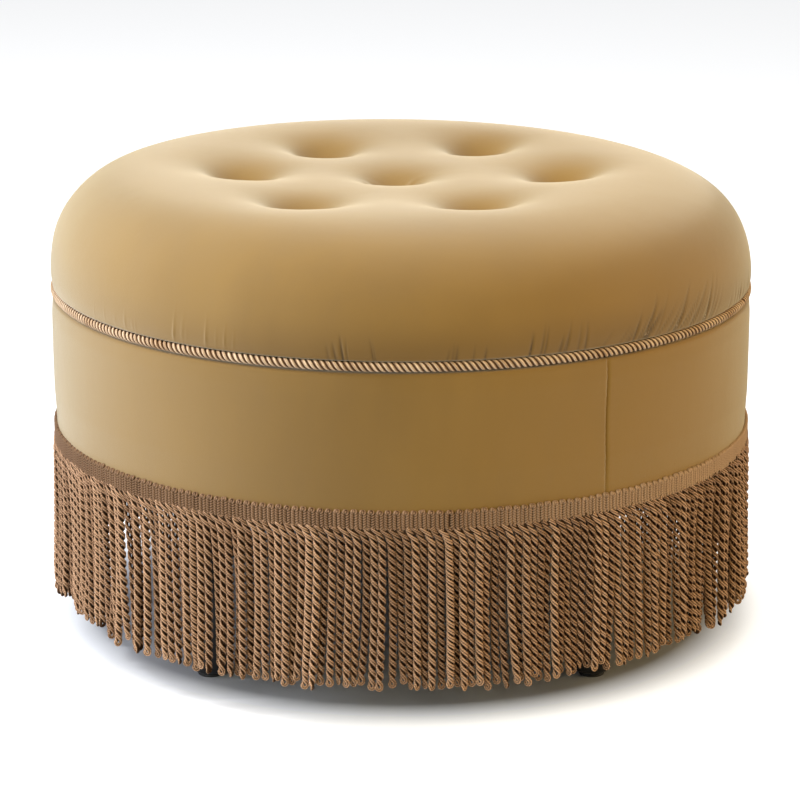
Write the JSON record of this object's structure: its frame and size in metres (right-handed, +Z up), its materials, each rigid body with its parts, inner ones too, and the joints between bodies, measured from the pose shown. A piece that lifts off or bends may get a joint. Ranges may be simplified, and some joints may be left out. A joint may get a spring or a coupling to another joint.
{
  "type": "storage ottoman",
  "caption": "Round velvet ottoman with a tufted cushion lid that lifts off a storage drum, a rope cord, a long bullion fringe and black legs behind it.",
  "frame": {"origin": "on the floor, under the centre of the round drum", "axes": "+Z up, +Y to the back, +X to the right; the velvet band's seam is at the front right"},
  "size_m": [0.707, 0.707, 0.4727],
  "materials": {
    "velvet": "short-pile cotton velvet, mustard gold, soft sheen",
    "rope_yarn": "three-strand twisted viscose cord, tan with gold highlights",
    "fringe_yarn": "twisted viscose bullion yarn and woven tape, tan brown",
    "plywood": "sanded birch plywood, unfinished",
    "foam": "open-cell polyurethane foam",
    "wadding": "bonded polyester wadding",
    "lining_cloth": "plain-weave cotton lining, beige",
    "black_cloth": "black non-woven dust cloth",
    "twine": "waxed tufting twine",
    "zinc_steel": "zinc-plated steel",
    "glide_plastic": "black nylon",
    "black_wood": "turned hardwood, satin black lacquer"
  },
  "bodies": {
    "base": {"base_board": "plywood", "drum_wall": "plywood", "dust_cover": "black_cloth", "floor_lining": "lining_cloth", "fringe_header": "fringe_yarn", "fringe_skirt": "fringe_yarn", "leg_1": "black_wood", "leg_2": "black_wood", "leg_3": "black_wood", "leg_4": "black_wood", "leg_bolt_1": "zinc_steel", "leg_bolt_2": "zinc_steel", "leg_bolt_3": "zinc_steel", "leg_bolt_4": "zinc_steel", "leg_glide_1": "glide_plastic", "leg_glide_2": "glide_plastic", "leg_glide_3": "glide_plastic", "leg_glide_4": "glide_plastic", "leg_nut_1": "zinc_steel", "leg_nut_2": "zinc_steel", "leg_nut_3": "zinc_steel", "leg_nut_4": "zinc_steel", "side_cover": "velvet", "side_padding": "foam", "top_hoop": "plywood", "wall_lining": "lining_cloth"},
    "lid": {"lid_board": "plywood", "lid_lining": "lining_cloth", "lid_rope": "rope_yarn", "locating_ring": "plywood", "seat_cover": "velvet", "seat_foam": "foam", "seat_wadding": "wadding", "tuft_button_1": "velvet", "tuft_button_2": "velvet", "tuft_button_3": "velvet", "tuft_button_4": "velvet", "tuft_button_5": "velvet", "tuft_button_6": "velvet", "tuft_button_7": "velvet", "tuft_twine_1": "twine", "tuft_twine_2": "twine", "tuft_twine_3": "twine", "tuft_twine_4": "twine", "tuft_twine_5": "twine", "tuft_twine_6": "twine", "tuft_twine_7": "twine", "tuft_washer_1": "zinc_steel", "tuft_washer_2": "zinc_steel", "tuft_washer_3": "zinc_steel", "tuft_washer_4": "zinc_steel", "tuft_washer_5": "zinc_steel", "tuft_washer_6": "zinc_steel", "tuft_washer_7": "zinc_steel"}
  },
  "joints": [
    {"name": "lid_lift", "type": "slide", "parent": "base", "child": "lid", "axis": [0, 0, 1], "range_m": [0, 0.3]}
  ]
}
